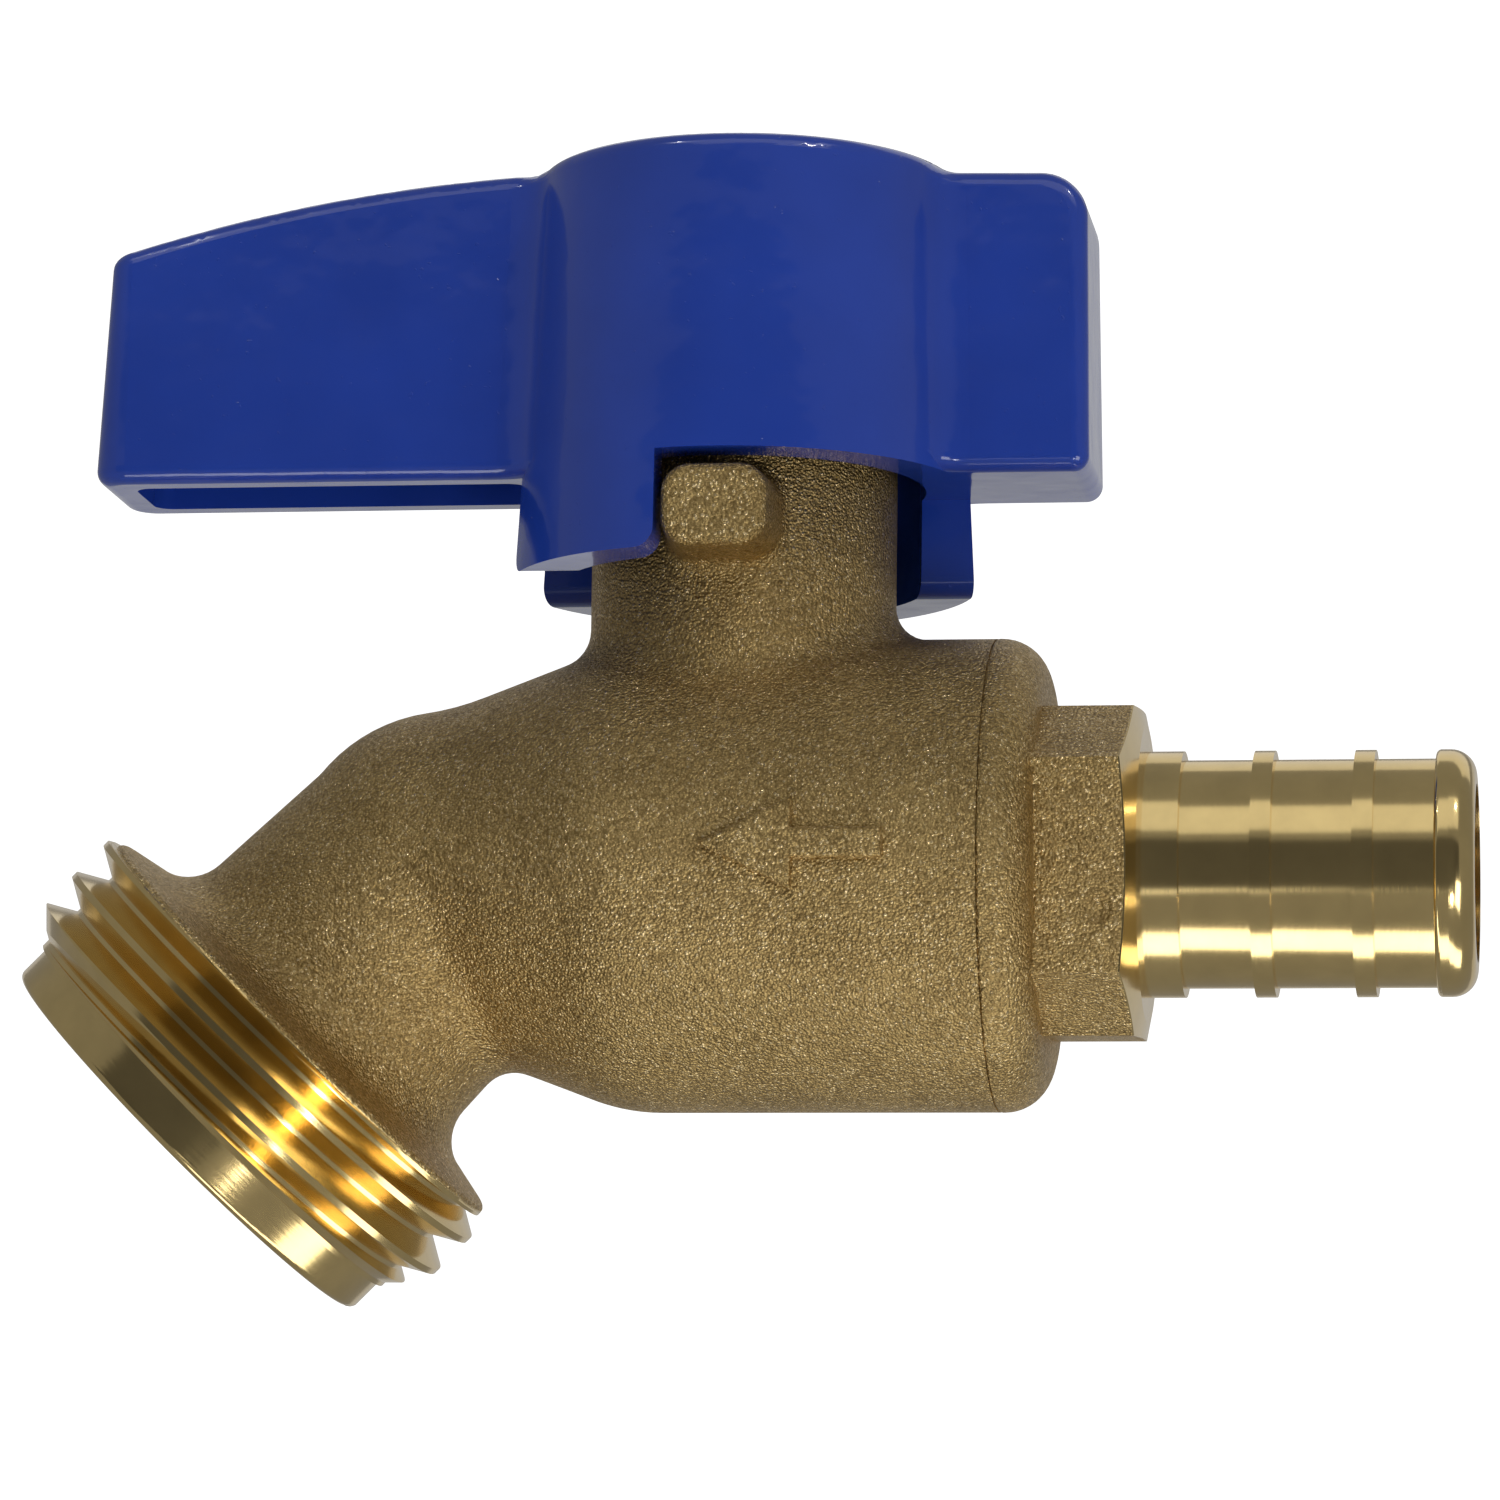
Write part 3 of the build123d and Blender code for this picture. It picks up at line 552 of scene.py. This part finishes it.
def backdrop_sheet(name, low_z, front_y, back_y, half_width, height, bend_r, across=9, along=120):
    """A studio sweep: flat, then a quarter circle of radius bend_r, then upright.

    The profile is carried straight along X. Its points are read at even steps of the length run
    along the floor, the arc and the wall.
    """
    arc = bend_r * math.pi / 2
    floor = back_y - bend_r - front_y
    run = np.linspace(0, floor + arc + height, along)
    angle = np.clip((run - floor) / bend_r, 0, math.pi / 2)
    y = front_y + np.minimum(run, floor) + bend_r * np.sin(angle)
    z = low_z + bend_r * (1 - np.cos(angle)) + np.maximum(run - floor - arc, 0)
    x = np.linspace(-half_width, half_width, across)[:, None]
    points = np.stack([x + 0 * y, y + 0 * x, z + 0 * x], axis=-1).reshape(-1, 3)
    here = np.arange(across * along).reshape(across, along)
    corners = [here[:-1, :-1], here[1:, :-1], here[1:, 1:], here[:-1, 1:]]
    quads = np.stack(corners, axis=-1).reshape(-1, 4)
    mesh = bpy.data.meshes.new(name)
    mesh.from_pydata(points.tolist(), [], quads.tolist())
    mesh.shade_smooth()
    sheet = bpy.data.objects.new(name, mesh)
    bpy.context.scene.collection.objects.link(sheet)
    return sheet


# the world's brightness, except where the camera sees it
WORLD_LEVEL = 0.22

# the card that hangs in front and the one behind: Y, half its width and its top
FRONT_CARD = (-0.25, 0.30, 0.12)
BACK_CARD = (0.40, 0.30, 0.16)

# lamp, place from the object's centre, width, height, brightness of its face
LAMPS = (
    ("under_lamp", (0.02, -0.028, -0.13), 0.24, 0.045, 2.6),
    ("low_strip", (-0.015, -0.24, -0.112), 0.05, 0.022, 0.9),
    ("front_lamp", (0.12, -0.45, 0.55), 0.90, 0.40, 0.54),
    ("back_lamp", (0.10, 0.50, 0.50), 0.80, 0.40, 0.45),
    ("glint_lamp", (0.1000, -0.196, -0.133), 0.034, 0.034, 15.0),
    ("low_right_lamp", (0.20, -0.16, -0.105), 0.10, 0.10, 3.2),
    ("left_spark", (-0.25, -0.30, 0.45), 0.018, 0.018, 150.0),
    ("right_spark", (0.30, -0.25, 0.45), 0.018, 0.018, 150.0),
)


class HOSEBIB_OT_studio(bpy.types.Operator):
    """Pale floor and backdrop, soft lamps and the camera"""

    bl_idname = "hosebib.studio"
    bl_label = "Studio"

    def execute(self, context):
        scene = context.scene
        studio = scene.hose_bib_studio
        low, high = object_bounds()
        centre = (low + high) / 2
        self.make_room(scene, low.z - studio.floor_drop)
        self.light(centre)
        target = Vector((centre.x + studio.aim_right, 0, centre.z - studio.aim_down))
        self.aim(scene, studio, target)
        return {"FINISHED"}

    def make_room(self, scene, floor_z):
        """Paper that only the camera sees, so that its white doesn't wash out the metal."""
        sheet = backdrop_sheet(
            "studio_floor", floor_z, front_y=-1.3, back_y=1.1, half_width=1.6, height=1.6, bend_r=0.5
        )
        w = Wiring("studio_paper", Roughness=0.8, Emission_Color=(1, 1, 1, 1), Emission_Strength=0.95)
        fibres = w.noise(0.004, detail=3.0)
        sheet.data.materials.append(w.wire(
            Base_Color=w.blend(fibres, (0.86, 0.86, 0.86), (0.90, 0.90, 0.90)),
        ))
        sheet.visible_diffuse = sheet.visible_glossy = sheet.visible_shadow = False
        sheet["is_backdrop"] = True
        world = bpy.data.worlds.new("studio_world")
        world.use_nodes = True
        tree = world.node_tree
        background = tree.nodes["Background"]
        path = tree.nodes.new("ShaderNodeLightPath")
        level = tree.nodes.new("ShaderNodeMapRange")
        level.inputs[3].default_value = WORLD_LEVEL
        level.inputs[4].default_value = 1.0
        tree.links.new(path.outputs["Is Camera Ray"], level.inputs[0])
        tree.links.new(level.outputs[0], background.inputs["Strength"])
        background.inputs["Color"].default_value = (1, 1, 1, 1)
        scene.world = world
        scene.view_settings.view_transform = "Standard"
        self.hang_cards(floor_z)

    def hang_cards(self, floor_z):
        """A dark card in front and a bright one behind, seen only in the metal and the enamel."""
        dark = Wiring("dark_card", Roughness=0.9, Specular_IOR_Level=0.1)
        weave = dark.noise(0.002, detail=2.0)
        dark.wire(Base_Color=dark.blend(weave, (0.20, 0.20, 0.20), (0.28, 0.28, 0.28)))
        bright = Wiring("bright_card", Emission_Color=(1, 1, 1, 1), Emission_Strength=0.42)
        grain = bright.noise(0.004, detail=2.0)
        bright.wire(Base_Color=bright.blend(grain, (0.05, 0.05, 0.05), (0.08, 0.08, 0.08)))
        for name, w, (y, wide, top) in (
            ("front_card", dark, FRONT_CARD),
            ("back_card", bright, BACK_CARD),
        ):
            corners = [(-wide, y, floor_z), (wide, y, floor_z), (wide, y, top), (-wide, y, top)]
            mesh = bpy.data.meshes.new(name)
            mesh.from_pydata(corners, [], [(0, 1, 2, 3)])
            mesh.materials.append(w.material)
            card = bpy.data.objects.new(name, mesh)
            card.visible_camera = card.visible_diffuse = card.visible_shadow = False
            bpy.context.scene.collection.objects.link(card)
            card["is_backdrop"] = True

    def light(self, centre):
        """The lamps, each as bright as its face times its area."""
        for name, offset, wide, tall, radiance in LAMPS:
            place = centre + Vector(offset)
            panel_light(name, place, centre, wide, tall, radiance * math.pi * wide * tall)

    def aim(self, scene, studio, target):
        """The camera, turned round target by azimuth, elevation and roll."""
        a, e, r = studio.azimuth, studio.elevation, studio.roll
        back = Vector((math.sin(a) * math.cos(e), -math.cos(a) * math.cos(e), math.sin(e)))
        right = Vector((math.cos(a), math.sin(a), 0))
        up = back.cross(right)
        turned_right = math.cos(r) * right + math.sin(r) * up
        turned_up = math.cos(r) * up - math.sin(r) * right
        data = bpy.data.cameras.new("camera")
        data.lens, data.sensor_width = studio.focal, 36
        data.shift_x, data.shift_y = studio.shift_x, studio.shift_y
        data.clip_start, data.clip_end = 0.01, 20
        camera = bpy.data.objects.new("camera", data)
        turn = Matrix((turned_right, turned_up, back)).transposed().to_4x4()
        camera.matrix_world = Matrix.Translation(target + back * studio.distance) @ turn
        scene.collection.objects.link(camera)
        scene.camera = camera


OPERATORS = (
    HOSEBIB_OT_casting,
    HOSEBIB_OT_tailpiece,
    HOSEBIB_OT_handle,
    HOSEBIB_OT_rubber,
    HOSEBIB_OT_ball,
    HOSEBIB_OT_packing,
    HOSEBIB_OT_fastening,
    HOSEBIB_OT_studio,
)


class HOSEBIB_PT_parts(bpy.types.Panel):
    """Lists the hose bib's settings and the steps that finish it"""

    bl_idname = "HOSEBIB_PT_parts"
    bl_label = "Hose bib"
    bl_space_type = "VIEW_3D"
    bl_region_type = "UI"
    bl_category = "Hose bib"

    def draw(self, context):
        for group in SETTINGS:
            settings = getattr(context.scene, group)
            box = self.layout.box()
            for name in settings.__annotations__:
                box.prop(settings, name)
        for operator in OPERATORS:
            self.layout.operator(operator.bl_idname)


def register():
    for group, kind in SETTINGS.items():
        bpy.utils.register_class(kind)
        setattr(bpy.types.Scene, group, PointerProperty(type=kind))
    for kind in (*OPERATORS, HOSEBIB_PT_parts):
        bpy.utils.register_class(kind)


def unregister():
    for kind in (HOSEBIB_PT_parts, *reversed(OPERATORS)):
        bpy.utils.unregister_class(kind)
    for group, kind in SETTINGS.items():
        delattr(bpy.types.Scene, group)
        bpy.utils.unregister_class(kind)


def main():
    register()
    for operator in OPERATORS:
        category, name = operator.bl_idname.split(".")
        getattr(getattr(bpy.ops, category), name)()


if __name__ == "__main__":
    main()
